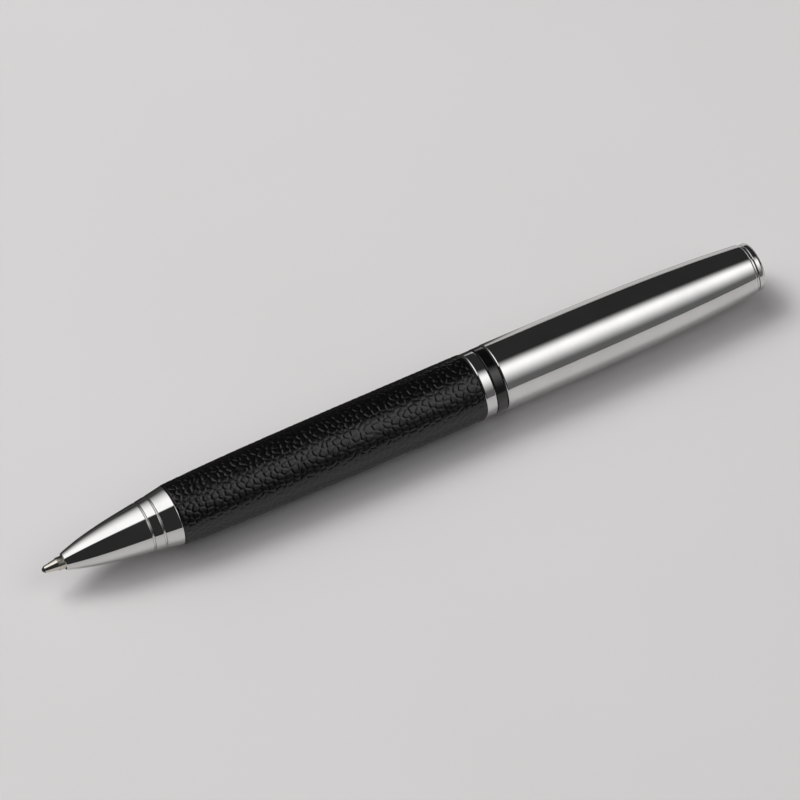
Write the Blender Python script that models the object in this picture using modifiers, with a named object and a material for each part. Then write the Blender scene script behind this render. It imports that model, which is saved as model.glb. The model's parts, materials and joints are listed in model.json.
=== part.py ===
"""A twist-action ballpoint pen, lying on its side with the writing tip extended.

The pen is drawn along its own axis. A station is a distance in millimetres from the writing ball
towards the finial, and a radius is a distance in millimetres from the pen's axis. One empty lays
that axis along +X, above the table.
"""

import math

import bmesh
import bpy
from mathutils import Matrix, Vector

MM = 0.001

# Lengths along the pen, front to back.
POINT_REACH = 4.0
NOSE_LENGTH = 20.45
LEATHER_LENGTH = 57.5
CENTRE_RING_LENGTH = 2.15
SPACER_RING_LENGTH = 1.95
CAP_LENGTH = 49.95
COLLAR_THICKNESS = 0.5
FINIAL_HEIGHT = 1.5

# Outer radii.
NOSE_FRONT_RADIUS = 1.5
NOSE_BACK_RADIUS = 5.4
NOSE_BULGE = 0.475
LEATHER_FRONT_RADIUS = 5.47
LEATHER_RADIUS = 6.1
LEATHER_TAPER_POWER = 4.5
CENTRE_RING_RADIUS = 5.98
SPACER_RING_RADIUS = 6.03
CAP_MOUTH_RADIUS = 6.12
CAP_END_RADIUS = 4.62
CAP_TAPER_POWER = 3.3
FINIAL_RADIUS = 4.42

# Clearances.
SEAT_GAP = 0.05
FIT_GAP = 0.1
RUN_GAP = 0.1

# Nose cone.
GROOVE_FROM_BACK = (5.3, 3.3)
GROOVE_WIDTH = 0.35
GROOVE_DEPTH = 0.25
GROOVED_LENGTH = 8.0
POINT_BORE_LENGTH = 5.5
SPIGOT_RADIUS = 4.1
SPIGOT_LENGTH = 5.6
SPIGOT_STEP_GAP = 0.6

# Barrel.
BARREL_TUBE_RADIUS = 5.0
BARREL_TUBE_WALL = 0.4
FRONT_BUSH_LENGTH = 6.2
REAR_BUSH_LENGTH = 9.5
RING_SEAT_RADIUS = 4.85
RING_CHAMFER = 0.2
WASHER_THICKNESS = 0.4
WASHER_WIDTH = 0.5

# Refill.
REFILL_LENGTH = 98.1
REFILL_RADIUS = 2.95
REFILL_WALL = 0.35
BALL_RADIUS = 0.5
BALL_SHOWING = 0.42
TIP_LIP_RADIUS = 0.6
TIP_CONE_LENGTH = 2.4
TIP_RADIUS = 1.15
TIP_STEP = 0.12
INK_CHANNEL_RADIUS = 0.25
NECK_RADIUS = 1.55
NECK_FRONT = 9.95
HOLDER_FLANGE_LENGTH = 1.0
REFILL_BODY_FRONT = 17.0
REFILL_PLUG_LENGTH = 3.0
REFILL_PLUG_INSERT = 2.0
INK_LENGTH = 56.0
INK_FLOAT_LENGTH = 3.0
NOTCH_WIDTH = 1.0
NOTCH_DEPTH = 1.2

# Return spring.
SPRING_WIRE_RADIUS = 0.16
SPRING_TURNS = 7
SPRING_CHAMBER_GAP = 0.25

# Twist mechanism.
TRAVEL = 5.2
TWIST = math.pi
FOLLOWER_LENGTH = 6.3
FOLLOWER_RECESS = 2.0
PIN_FROM_FOLLOWER_FRONT = 3.0
PIN_RADIUS = 0.45
SLOT_GAP = 0.12
CAM_SLOT_GAP = 0.25
GUIDE_WALL = 0.45
GUIDE_BORE_GAP = 0.25
GUIDE_BEHIND_TRAVEL = 2.5
CAM_WALL = 0.55
CAM_END_WALL = 3.0
FRICTION_RING_FROM_MOUTH = 3.0

# Cap.
CAP_WALL = 0.55
CAP_END_WALL = 0.8
LINER_LENGTH = 24.0
STUD_RADIUS = 1.5
STUD_LENGTH = 8.0
NUT_LENGTH = 7.0
FINIAL_FLAT_RADIUS = 3.2
FINIAL_STRAIGHT_SHARE = 0.4

# Clip.
CLIP_RADIUS = 8.05
CLIP_CREST_FROM_BACK = 10.0
CLIP_CREST_DROP = 0.5
CLIP_LENGTH = 38.0
CLIP_THICKNESS = 0.7
CLIP_HALF_WIDTH = 1.8
CLIP_END_HALF_WIDTH = 1.3
CLIP_TOUCH_GAP = 0.1
CLIP_ROOT_RISE = 0.35
CLIP_BEND_LENGTH = 1.2
CLIP_BEND_EDGE = 0.4
CLIP_BEND_EASE = 0.12
CLIP_INNER_BEND = 1.4
CLIP_INNER_RUN_OUT = 3.0

# Facets.
OUTER_SIDES = 40
INNER_SIDES = 24
FINE_SIDES = 12
RING_SECTION_SIDES = 8
SPRING_POINTS_PER_TURN = 14
CAM_SLOT_POINTS_PER_TURN = 44
WELD = 0.000001

# Stations that follow from the lengths above.
nose_front = POINT_REACH
nose_back = nose_front + NOSE_LENGTH
leather_back = nose_back + LEATHER_LENGTH
centre_ring_back = leather_back + CENTRE_RING_LENGTH
cap_mouth = centre_ring_back + SPACER_RING_LENGTH
cap_back = cap_mouth + CAP_LENGTH
collar_back = cap_back + COLLAR_THICKNESS
pen_back = collar_back + FINIAL_HEIGHT
spring_seat = nose_front + POINT_BORE_LENGTH
spigot_back = nose_back + SPIGOT_LENGTH
follower_front = REFILL_LENGTH + SEAT_GAP
follower_back = follower_front + FOLLOWER_LENGTH
pin_station = follower_front + PIN_FROM_FOLLOWER_FRONT
clip_crest = collar_back - CLIP_CREST_FROM_BACK

# Radii that follow from the fits.
barrel_bore = BARREL_TUBE_RADIUS - BARREL_TUBE_WALL
guide_bore = REFILL_RADIUS + GUIDE_BORE_GAP
guide_radius = guide_bore + GUIDE_WALL
cam_bore = guide_radius + RUN_GAP
cam_radius = cam_bore + CAM_WALL
liner_bore = cam_radius + FIT_GAP

rest_radius = max(CAP_MOUTH_RADIUS, LEATHER_RADIUS) * math.cos(math.pi / OUTER_SIDES)


def clear_scene():
    """Remove every object that the file opened with."""
    for old in list(bpy.data.objects):
        bpy.data.objects.remove(old, do_unlink=True)


def new_collection(name):
    """Return a new collection linked to the scene."""
    collection = bpy.data.collections.new(name)
    bpy.context.scene.collection.children.link(collection)
    return collection


def material(name, colour, metallic, roughness):
    """Return a Principled material of one colour."""
    made = bpy.data.materials.new(name)
    made.use_nodes = True
    shader = made.node_tree.nodes["Principled BSDF"]
    shader.inputs["Base Color"].default_value = (*colour, 1.0)
    shader.inputs["Metallic"].default_value = metallic
    shader.inputs["Roughness"].default_value = roughness
    return made


def add_object(name, data, collection, parent, finish=None):
    """Link a new object, hang it on its parent and give it its material."""
    made = bpy.data.objects.new(name, data)
    collection.objects.link(made)
    made.parent = parent
    if finish:
        data.materials.append(finish)
    return made


def empty(name, parent, placing):
    """Add an empty that stands on a joint's axis."""
    made = bpy.data.objects.new(name, None)
    parts.objects.link(made)
    made.parent = parent
    made.matrix_basis = placing
    return made


def nose_radius(station):
    """Outer radius of the nose cone: a straight taper with a bulge nearer its front."""
    share = (station - nose_front) / NOSE_LENGTH
    highest = 4 / 27
    bulge = NOSE_BULGE * share * (1 - share) ** 2 / highest
    return NOSE_FRONT_RADIUS + (NOSE_BACK_RADIUS - NOSE_FRONT_RADIUS) * share + bulge


def leather_radius(station):
    """Outer radius of the leather: it swells from its front edge and then runs straight."""
    share = (station - nose_back) / LEATHER_LENGTH
    return LEATHER_RADIUS - (LEATHER_RADIUS - LEATHER_FRONT_RADIUS) * (1 - share) ** LEATHER_TAPER_POWER


def cap_radius(station):
    """Outer radius of the cap: nearly straight at its mouth and curving in to its end."""
    share = (station - cap_mouth) / CAP_LENGTH
    return CAP_MOUTH_RADIUS - (CAP_MOUTH_RADIUS - CAP_END_RADIUS) * share**CAP_TAPER_POWER


def spread(start, stop, count):
    """Return count stations evenly spaced from start to stop."""
    return [start + (stop - start) * index / (count - 1) for index in range(count)]


def turned(name, outer, inner, sides, finish, parent):
    """Turn a profile about the pen's axis.

    Both lists hold (station, radius) from front to back. Without an inner list the piece is solid.
    The profile starts half a facet round, so that the pen lies on flat facets.
    """
    ring = list(reversed(outer))
    if inner:
        ring += inner
    else:
        ring = [(outer[-1][0], 0.0)] + ring + [(outer[0][0], 0.0)]
    data = bpy.data.meshes.new(name)
    start = math.pi / sides
    points = []
    for station, radius in ring:
        points.append((radius * math.cos(start) * MM, radius * math.sin(start) * MM, station * MM))
    links = [(index, index + 1) for index in range(len(points) - 1)]
    if inner:
        links.append((len(points) - 1, 0))
    data.from_pydata(points, links, [])
    made = add_object(name, data, parts, parent, finish)
    screw = made.modifiers.new("turn", "SCREW")
    screw.axis = "Z"
    screw.steps = sides
    screw.render_steps = sides
    screw.use_merge_vertices = True
    screw.merge_threshold = WELD
    screw.use_smooth_shade = True
    return made


def tube(name, front, back, radius, bore, sides, finish, parent):
    """Turn a plain tube, or a plain rod when the bore is zero."""
    inner = [(front, bore), (back, bore)] if bore else None
    return turned(name, [(front, radius), (back, radius)], inner, sides, finish, parent)


def cutter(name, data, placing):
    """Add a cutter, which shows as a wire and isn't part of the pen."""
    made = bpy.data.objects.new(name, data)
    cutters.objects.link(made)
    made.parent = pen_axis
    made.matrix_basis = placing
    made.hide_render = True
    made.display_type = "WIRE"
    return made


def box_cutter(name, size, centre):
    """A box cutter in the pen's own axes."""
    data = bpy.data.meshes.new(name)
    shape = bmesh.new()
    bmesh.ops.create_cube(shape, size=1.0, matrix=Matrix.Diagonal((*(Vector(size) * MM), 1.0)))
    shape.to_mesh(data)
    shape.free()
    return cutter(name, data, Matrix.Translation(Vector(centre) * MM))


def rod_data(name, radius, length):
    """A rod along local Z, centred on its origin."""
    data = bpy.data.meshes.new(name)
    shape = bmesh.new()
    bmesh.ops.create_cone(
        shape,
        cap_ends=True,
        segments=FINE_SIDES,
        radius1=radius * MM,
        radius2=radius * MM,
        depth=length * MM,
    )
    shape.to_mesh(data)
    shape.free()
    return data


def across(station):
    """Placing that lays local Z along the cross pin at a station."""
    return Matrix.Translation((0.0, 0.0, station * MM)) @ Matrix.Rotation(math.pi / 2, 4, "X")


def cut(piece, tool):
    """Cut a tool's shape out of a piece."""
    boolean = piece.modifiers.new("cut " + tool.name, "BOOLEAN")
    boolean.operation = "DIFFERENCE"
    boolean.solver = "EXACT"
    boolean.object = tool


def helix(turns, per_turn, radius, start, stop, first_angle, sense):
    """Points of a helix about the pen's axis, in metres."""
    count = max(2, round(turns * per_turn) + 1)
    points = []
    for index in range(count):
        share = index / (count - 1)
        angle = first_angle + sense * share * turns * 2 * math.pi
        station = start + (stop - start) * share
        points.append(Vector((math.cos(angle) * radius, math.sin(angle) * radius, station)) * MM)
    return points


def wire_curve(name, points, radius):
    """A round wire through the points, with filled ends."""
    data = bpy.data.curves.new(name, "CURVE")
    data.dimensions = "3D"
    data.bevel_depth = radius * MM
    data.bevel_resolution = 2
    data.use_fill_caps = True
    spline = data.splines.new("POLY")
    spline.points.add(len(points) - 1)
    for point, place in zip(spline.points, points):
        point.co = (*place, 1.0)
    return data


def as_mesh(source, name):
    """Turn a curve object into one welded mesh and remove the curve."""
    bpy.context.view_layer.update()
    depsgraph = bpy.context.evaluated_depsgraph_get()
    data = bpy.data.meshes.new_from_object(source.evaluated_get(depsgraph))
    data.name = name
    bpy.data.objects.remove(source, do_unlink=True)
    shape = bmesh.new()
    shape.from_mesh(data)
    bmesh.ops.remove_doubles(shape, verts=shape.verts, dist=WELD)
    bmesh.ops.recalc_face_normals(shape, faces=shape.faces)
    shape.to_mesh(data)
    shape.free()
    return data


def flat_data(name, outlines, thickness):
    """A flat sheet with the given closed outlines, in millimetres, as one welded mesh."""
    data = bpy.data.curves.new(name, "CURVE")
    data.dimensions = "2D"
    data.fill_mode = "BOTH"
    data.extrude = thickness / 2 * MM
    for outline in outlines:
        spline = data.splines.new("POLY")
        spline.points.add(len(outline) - 1)
        spline.use_cyclic_u = True
        for point, (across_x, along_y) in zip(spline.points, outline):
            point.co = (across_x * MM, along_y * MM, 0.0, 1.0)
    source = bpy.data.objects.new(name, data)
    parts.objects.link(source)
    return as_mesh(source, name)


def make_nose_cone():
    """Nose cone: grooved ogive, spring chamber, refill bore and a screwed spigot."""
    half = GROOVE_WIDTH / 2
    plain = spread(nose_front, nose_back - GROOVED_LENGTH, 7)
    outer = [(station, nose_radius(station)) for station in plain]
    for from_back in GROOVE_FROM_BACK:
        centre = nose_back - from_back
        for offset, depth in ((-half, 0.0), (-half / 2, GROOVE_DEPTH), (half / 2, GROOVE_DEPTH), (half, 0.0)):
            outer.append((centre + offset, nose_radius(centre + offset) - depth))
    outer.append((nose_back, NOSE_BACK_RADIUS))
    outer.append((nose_back + SEAT_GAP / 4, SPIGOT_RADIUS))
    outer.append((spigot_back, SPIGOT_RADIUS))
    body_step = REFILL_BODY_FRONT - SPIGOT_STEP_GAP
    chamber = NECK_RADIUS + 2 * SPRING_WIRE_RADIUS + 2 * SPRING_CHAMBER_GAP
    point_bore = TIP_RADIUS + RUN_GAP
    inner = [
        (nose_front, point_bore),
        (spring_seat, point_bore),
        (spring_seat, chamber),
        (body_step, chamber),
        (body_step, guide_bore),
        (spigot_back, guide_bore),
    ]
    turned("nose_cone", outer, inner, OUTER_SIDES, chrome, nose_slide)


def make_barrel():
    """Barrel tube with its two screwed bushes and the leather around it."""
    front = nose_back + SEAT_GAP
    back = leather_back - SEAT_GAP
    tube("barrel_tube", front, back, BARREL_TUBE_RADIUS, barrel_bore, INNER_SIDES, brass, pen_axis)
    stations = spread(front, back, 9)
    outer = [(station, leather_radius(station)) for station in stations]
    bore = BARREL_TUBE_RADIUS + FIT_GAP
    inner = [(front, bore), (back, bore)]
    turned("leather_sleeve", outer, inner, OUTER_SIDES, leather, pen_axis)
    bush_radius = barrel_bore - FIT_GAP
    bush_bore = SPIGOT_RADIUS + FIT_GAP
    bush_back = front + FRONT_BUSH_LENGTH
    tube("front_bush", front, bush_back, bush_radius, bush_bore, INNER_SIDES, brass, pen_axis)
    outer = [
        (leather_back - REAR_BUSH_LENGTH, bush_radius),
        (leather_back, bush_radius),
        (leather_back, RING_SEAT_RADIUS),
        (cap_mouth - SEAT_GAP, RING_SEAT_RADIUS),
    ]
    bush_bore = guide_radius + FIT_GAP / 2
    inner = [(leather_back - REAR_BUSH_LENGTH, bush_bore), (cap_mouth - SEAT_GAP, bush_bore)]
    turned("rear_bush", outer, inner, INNER_SIDES, brass, pen_axis)


def make_ring(name, front, back, radius, finish):
    """A decorative ring with chamfered outer edges, seated on the rear bush."""
    bore = RING_SEAT_RADIUS + FIT_GAP / 2
    outer = [
        (front, radius - RING_CHAMFER),
        (front + RING_CHAMFER, radius),
        (back - RING_CHAMFER, radius),
        (back, radius - RING_CHAMFER),
    ]
    turned(name, outer, [(front, bore), (back, bore)], OUTER_SIDES, finish, pen_axis)


def make_rings():
    """Chrome centre ring, black spacer ring and the thrust washer under the cap's mouth."""
    centre_front = leather_back + SEAT_GAP
    centre_back = centre_ring_back - SEAT_GAP / 2
    make_ring("centre_ring", centre_front, centre_back, CENTRE_RING_RADIUS, chrome)
    spacer_front = centre_ring_back + SEAT_GAP / 2
    spacer_back = cap_mouth - SEAT_GAP
    make_ring("spacer_ring", spacer_front, spacer_back, SPACER_RING_RADIUS, enamel)
    back = cap_mouth + WASHER_THICKNESS
    bore = RING_SEAT_RADIUS
    radius = bore + WASHER_WIDTH
    tube("thrust_washer", cap_mouth, back, radius, bore, INNER_SIDES, white_plastic, pen_axis)


def make_refill():
    """Refill: ball, tip, neck, ink tube with its ink and float, and end plug."""
    lip = BALL_SHOWING
    data = bpy.data.meshes.new("writing_ball")
    shape = bmesh.new()
    radius = BALL_RADIUS * MM
    bmesh.ops.create_uvsphere(shape, u_segments=FINE_SIDES, v_segments=FINE_SIDES // 2, radius=radius)
    shape.to_mesh(data)
    shape.free()
    add_object("writing_ball", data, parts, ball_turn, carbide)
    socket = BALL_RADIUS + SEAT_GAP
    tip_back = NECK_FRONT - SEAT_GAP / 2
    outer = [
        (lip, TIP_LIP_RADIUS),
        (lip + TIP_CONE_LENGTH, TIP_RADIUS - TIP_STEP),
        (lip + TIP_CONE_LENGTH, TIP_RADIUS),
        (tip_back, TIP_RADIUS),
    ]
    socket_back = 2 * BALL_RADIUS + SEAT_GAP
    inner = [
        (lip, socket),
        (socket_back, socket),
        (socket_back, INK_CHANNEL_RADIUS),
        (tip_back, INK_CHANNEL_RADIUS),
    ]
    turned("writing_tip", outer, inner, INNER_SIDES, nickel, refill_slide)
    neck_back = REFILL_BODY_FRONT + HOLDER_FLANGE_LENGTH
    outer = [
        (NECK_FRONT, NECK_RADIUS),
        (REFILL_BODY_FRONT, NECK_RADIUS),
        (REFILL_BODY_FRONT, REFILL_RADIUS),
        (neck_back, REFILL_RADIUS),
    ]
    inner = [(NECK_FRONT, INK_CHANNEL_RADIUS), (neck_back, INK_CHANNEL_RADIUS)]
    turned("tip_holder", outer, inner, INNER_SIDES, brass, refill_slide)
    body_front = neck_back + SEAT_GAP
    plug_front = REFILL_LENGTH - REFILL_PLUG_LENGTH
    ink_radius = REFILL_RADIUS - REFILL_WALL
    tube("ink_tube", body_front, plug_front, REFILL_RADIUS, ink_radius, INNER_SIDES, steel, refill_slide)
    ink_back = body_front + INK_LENGTH
    float_back = ink_back + INK_FLOAT_LENGTH
    fill_radius = ink_radius - FIT_GAP
    tube("ink", body_front, ink_back, fill_radius, 0.0, FINE_SIDES, ink, refill_slide)
    tube("ink_float", ink_back + SEAT_GAP, float_back, fill_radius, 0.0, FINE_SIDES, grease, refill_slide)
    insert_front = plug_front - REFILL_PLUG_INSERT
    outer = [
        (insert_front, fill_radius),
        (plug_front + SEAT_GAP, fill_radius),
        (plug_front + SEAT_GAP, REFILL_RADIUS),
        (REFILL_LENGTH, REFILL_RADIUS),
    ]
    inner = [(insert_front, NECK_RADIUS), (REFILL_LENGTH, NECK_RADIUS)]
    plug = turned("refill_plug", outer, inner, INNER_SIDES, black_plastic, refill_slide)
    notch_size = (3 * REFILL_RADIUS, NOTCH_WIDTH, 2 * NOTCH_DEPTH)
    cut(plug, box_cutter("plug_notch", notch_size, (0.0, 0.0, REFILL_LENGTH)))


def make_spring():
    """Return spring between the nose cone's seat and the refill's shoulder."""
    radius = NECK_RADIUS + SPRING_CHAMBER_GAP + SPRING_WIRE_RADIUS
    front = spring_seat + SPRING_WIRE_RADIUS + SEAT_GAP
    back = REFILL_BODY_FRONT - SPRING_WIRE_RADIUS - SEAT_GAP
    points = helix(SPRING_TURNS, SPRING_POINTS_PER_TURN, radius, front, back, 0.0, 1)
    wire = wire_curve("return_spring", points, SPRING_WIRE_RADIUS)
    add_object("return_spring", wire, parts, pen_axis, steel)


def make_mechanism():
    """Guide sleeve, cam sleeve, follower with its cross pin, and the friction ring."""
    slot_front = pin_station - PIN_RADIUS - SLOT_GAP
    slot_back = pin_station + TRAVEL + PIN_RADIUS + SLOT_GAP
    guide_front = leather_back - REAR_BUSH_LENGTH
    guide_back = follower_back + TRAVEL + GUIDE_BEHIND_TRAVEL
    bore = guide_bore
    guide = tube("guide_sleeve", guide_front, guide_back, guide_radius, bore, INNER_SIDES, steel, pen_axis)
    slot_size = (2 * (PIN_RADIUS + SLOT_GAP), 4 * guide_radius, slot_back - slot_front)
    cut(guide, box_cutter("guide_slot", slot_size, (0.0, 0.0, (slot_front + slot_back) / 2)))

    cam_front = slot_front - CAM_END_WALL
    cam_back = slot_back + CAM_END_WALL
    cam = tube("cam_sleeve", cam_front, cam_back, cam_radius, cam_bore, INNER_SIDES, brass, cap_turn)
    cam_middle = (cam_radius + cam_bore) / 2
    run = math.hypot(TRAVEL, TWIST * cam_middle)
    margin = (PIN_RADIUS + CAM_SLOT_GAP) / run
    path_front = pin_station - margin * TRAVEL
    path_back = pin_station + (1 + margin) * TRAVEL
    turns = (1 + 2 * margin) * TWIST / (2 * math.pi)
    for side, name in ((1, "cam_slot_left"), (-1, "cam_slot_right")):
        first_angle = side * math.pi / 2 + margin * TWIST
        per_turn = CAM_SLOT_POINTS_PER_TURN
        points = helix(turns, per_turn, cam_middle, path_front, path_back, first_angle, -1)
        path = bpy.data.objects.new(name, wire_curve(name, points, PIN_RADIUS + CAM_SLOT_GAP))
        cutters.objects.link(path)
        cut(cam, cutter(name, as_mesh(path, name), Matrix.Identity(4)))

    outer = [(follower_front, REFILL_RADIUS + FIT_GAP), (follower_back, REFILL_RADIUS + FIT_GAP)]
    recess_front = follower_back - FOLLOWER_RECESS
    inner = [
        (follower_front, NECK_RADIUS / 2),
        (recess_front, NECK_RADIUS / 2),
        (recess_front, NECK_RADIUS),
        (follower_back, NECK_RADIUS),
    ]
    follower = turned("follower", outer, inner, INNER_SIDES, black_plastic, refill_slide)
    hole = rod_data("pin_hole", PIN_RADIUS + FIT_GAP / 2, 4 * REFILL_RADIUS)
    cut(follower, cutter("pin_hole", hole, across(pin_station)))
    pin = add_object(
        "follower_pin",
        rod_data("follower_pin", PIN_RADIUS, 2 * (cam_radius - SEAT_GAP)),
        parts,
        refill_slide,
        steel,
    )
    pin.matrix_basis = across(pin_station)

    ring_centre = (guide_radius + liner_bore) / 2
    ring_radius = (liner_bore - guide_radius) / 2 - SEAT_GAP
    ring_station = cap_mouth + FRICTION_RING_FROM_MOUTH
    section = []
    for angle in spread(math.pi / 2, -1.5 * math.pi, RING_SECTION_SIDES + 1)[:-1]:
        station = ring_station + ring_radius * math.sin(angle)
        section.append((station, ring_centre + ring_radius * math.cos(angle)))
    outward = RING_SECTION_SIDES // 2 + 1
    outer = list(reversed(section[:outward]))
    turned("friction_ring", outer, section[outward:], INNER_SIDES, rubber, pen_axis)


def make_cap():
    """Cap shell, the liner that carries the cam sleeve, and the nut for the finial's stud."""
    front = cap_mouth + SEAT_GAP
    inner_back = cap_back - CAP_END_WALL
    outer = [(front, CAP_MOUTH_RADIUS - RING_CHAMFER)]
    outer += [(station, cap_radius(station)) for station in spread(front + RING_CHAMFER, cap_back, 11)]
    inner = [(station, cap_radius(station) - CAP_WALL) for station in spread(front, inner_back, 7)]
    inner += [(inner_back, STUD_RADIUS + FIT_GAP), (cap_back, STUD_RADIUS + FIT_GAP)]
    turned("cap_shell", outer, inner, OUTER_SIDES, chrome, cap_turn)

    liner_front = cap_mouth + WASHER_THICKNESS + SEAT_GAP
    liner_back = liner_front + LINER_LENGTH
    liner_radius = cap_radius(liner_back) - CAP_WALL - FIT_GAP
    tube("cap_liner", liner_front, liner_back, liner_radius, liner_bore, INNER_SIDES, brass, cap_turn)

    nut_back = inner_back - SEAT_GAP
    nut_radius = cap_radius(nut_back) - CAP_WALL - FIT_GAP
    nut_bore = STUD_RADIUS + FIT_GAP
    tube("finial_nut", nut_back - NUT_LENGTH, nut_back, nut_radius, nut_bore, INNER_SIDES, brass, cap_turn)

    head_front = collar_back + SEAT_GAP
    edge = FINIAL_RADIUS - FINIAL_FLAT_RADIUS
    rise = pen_back - head_front
    outer = [(head_front - STUD_LENGTH, STUD_RADIUS), (head_front, STUD_RADIUS)]
    outer.append((head_front, FINIAL_RADIUS))
    shoulder = head_front + rise * FINIAL_STRAIGHT_SHARE
    for angle in spread(0.0, math.pi / 2, 5):
        station = shoulder + (pen_back - shoulder) * math.sin(angle)
        outer.append((station, FINIAL_FLAT_RADIUS + edge * math.cos(angle)))
    turned("finial", outer, None, OUTER_SIDES, chrome, cap_turn)


def clip_height(station):
    """Outer radius of the clip's arm: highest at its crest and lower towards both ends."""
    reach = CLIP_CREST_FROM_BACK if station > clip_crest else CLIP_LENGTH - CLIP_CREST_FROM_BACK
    return CLIP_RADIUS - CLIP_CREST_DROP * ((station - clip_crest) / reach) ** 2


def clip_half_width(station):
    """Half width of the clip's arm: even up to its crest, then narrowing to its free end."""
    share = max(0.0, clip_crest - station) / (CLIP_LENGTH - CLIP_CREST_FROM_BACK)
    return CLIP_HALF_WIDTH + (CLIP_END_HALF_WIDTH - CLIP_HALF_WIDTH) * share


def make_clip():
    """Clip: a collar clamped under the finial, and the springy arm that hangs on its tab."""
    tab = clip_height(collar_back) - CLIP_ROOT_RISE - CLIP_THICKNESS
    thickness = COLLAR_THICKNESS - 2 * SEAT_GAP
    half = CLIP_HALF_WIDTH
    start = math.asin(half / FINIAL_RADIUS)
    outline = [(tab, -half), (tab, half)]
    for angle in spread(start, 2 * math.pi - start, 25):
        outline.append((FINIAL_RADIUS * math.cos(angle), FINIAL_RADIUS * math.sin(angle)))
    hole_radius = STUD_RADIUS + FIT_GAP
    hole = []
    for angle in spread(0.0, 2 * math.pi, INNER_SIDES + 1)[:-1]:
        hole.append((hole_radius * math.cos(angle), -hole_radius * math.sin(angle)))
    sheet = flat_data("clip_collar", [outline, hole], thickness)
    collar = add_object("clip_collar", sheet, parts, cap_turn, chrome)
    lift = Matrix.Translation((0.0, 0.0, (cap_back + COLLAR_THICKNESS / 2) * MM))
    collar.matrix_basis = lift @ Matrix.Rotation(clip_angle, 4, "Z")

    front = collar_back - CLIP_LENGTH
    ball = (clip_height(front) - cap_radius(front) - CLIP_TOUCH_GAP) / 2
    ball_station = front + ball
    ball_height = clip_height(front) - ball
    back = collar_back - SEAT_GAP
    stations = spread(ball_station, clip_crest, 7)
    stations += spread(clip_crest, back - CLIP_BEND_LENGTH, 4)[1:]
    outer = [(station, clip_height(station)) for station in stations]
    outer.append((back - CLIP_BEND_EDGE, clip_height(back) - CLIP_BEND_EASE))
    outer.append((back, clip_height(back) - CLIP_BEND_EDGE))
    outer.append((back, tab + SEAT_GAP))
    outer.append((back - thickness, tab + SEAT_GAP))
    inner = [(back - CLIP_INNER_BEND, clip_height(back) - CLIP_THICKNESS)]
    for station in spread(back - CLIP_INNER_RUN_OUT, ball_station + 2 * ball, 8):
        inner.append((station, clip_height(station) - CLIP_THICKNESS))
    rim = []
    for angle in spread(-math.pi / 6, -1.5 * math.pi, 7)[:-1]:
        rim.append((ball_station + ball * math.cos(angle), ball_height + ball * math.sin(angle)))
    hinge_station, hinge_height = clip_hinge_place
    outline = [(station - hinge_station, height - hinge_height) for station, height in outer + inner + rim]
    sheet_thickness = 2.0
    data = flat_data("clip_arm", [outline], sheet_thickness)
    for vertex in data.vertices:
        vertex.co.z *= clip_half_width(hinge_station + vertex.co.x / MM) / (sheet_thickness / 2)
    add_object("clip_arm", data, parts, clip_turn, chrome)


def radial_frame(angle, radius, station):
    """Axes at a clip point: X along the pen, Y outwards, Z around the pen."""
    turn = Matrix(
        (
            (0.0, math.cos(angle), -math.sin(angle)),
            (0.0, math.sin(angle), math.cos(angle)),
            (1.0, 0.0, 0.0),
        )
    ).to_4x4()
    place = Vector((radius * math.cos(angle), radius * math.sin(angle), station)) * MM
    return Matrix.Translation(place) @ turn


# The clip leans against the table beside the barrel, so its angle follows from both sizes.
clip_corner = math.hypot(CLIP_RADIUS, CLIP_HALF_WIDTH)
clip_angle = math.acos(rest_radius / clip_corner) + math.atan2(CLIP_HALF_WIDTH, CLIP_RADIUS)
clip_reach = CLIP_RADIUS * math.sin(clip_angle) + CLIP_HALF_WIDTH * math.cos(clip_angle)
clip_hinge_height = clip_height(collar_back) - CLIP_ROOT_RISE - CLIP_THICKNESS + SEAT_GAP / 2
clip_hinge_place = (cap_back + COLLAR_THICKNESS / 2, clip_hinge_height)

clear_scene()
parts = new_collection("ballpoint_pen")
cutters = new_collection("cutters")

chrome = material("chrome", (0.78, 0.79, 0.8), 1.0, 0.08)
brass = material("brass", (0.72, 0.55, 0.27), 1.0, 0.3)
leather = material("black_leather", (0.012, 0.012, 0.013), 0.0, 0.45)
enamel = material("black_enamel", (0.008, 0.008, 0.009), 0.0, 0.12)
steel = material("spring_steel", (0.6, 0.6, 0.6), 1.0, 0.25)
nickel = material("nickel_silver", (0.7, 0.66, 0.58), 1.0, 0.2)
carbide = material("carbide", (0.35, 0.35, 0.37), 1.0, 0.15)
black_plastic = material("black_plastic", (0.02, 0.02, 0.022), 0.0, 0.5)
white_plastic = material("white_plastic", (0.85, 0.84, 0.8), 0.0, 0.45)
rubber = material("black_rubber", (0.015, 0.015, 0.015), 0.0, 0.8)
ink = material("blue_ink", (0.01, 0.02, 0.12), 0.0, 0.3)
grease = material("clear_grease", (0.75, 0.72, 0.6), 0.0, 0.2)

lay_down = Matrix.Rotation(math.pi / 2, 4, "Y")
axis_place = Vector((-pen_back / 2, (rest_radius - clip_reach) / 2, rest_radius)) * MM
pen_axis = empty("pen_axis", None, Matrix.Translation(axis_place) @ lay_down)
cap_turn = empty("cap_turn", pen_axis, Matrix.Identity(4))
refill_slide = empty("refill_slide", pen_axis, Matrix.Identity(4))
nose_slide = empty("nose_slide", pen_axis, Matrix.Identity(4))
ball_turn = empty("ball_turn", refill_slide, Matrix.Translation((0.0, 0.0, BALL_RADIUS * MM)))
clip_placing = radial_frame(clip_angle, clip_hinge_height, clip_hinge_place[0])
clip_turn = empty("clip_turn", cap_turn, clip_placing)

make_nose_cone()
make_barrel()
make_rings()
make_refill()
make_spring()
make_mechanism()
make_cap()
make_clip()
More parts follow.
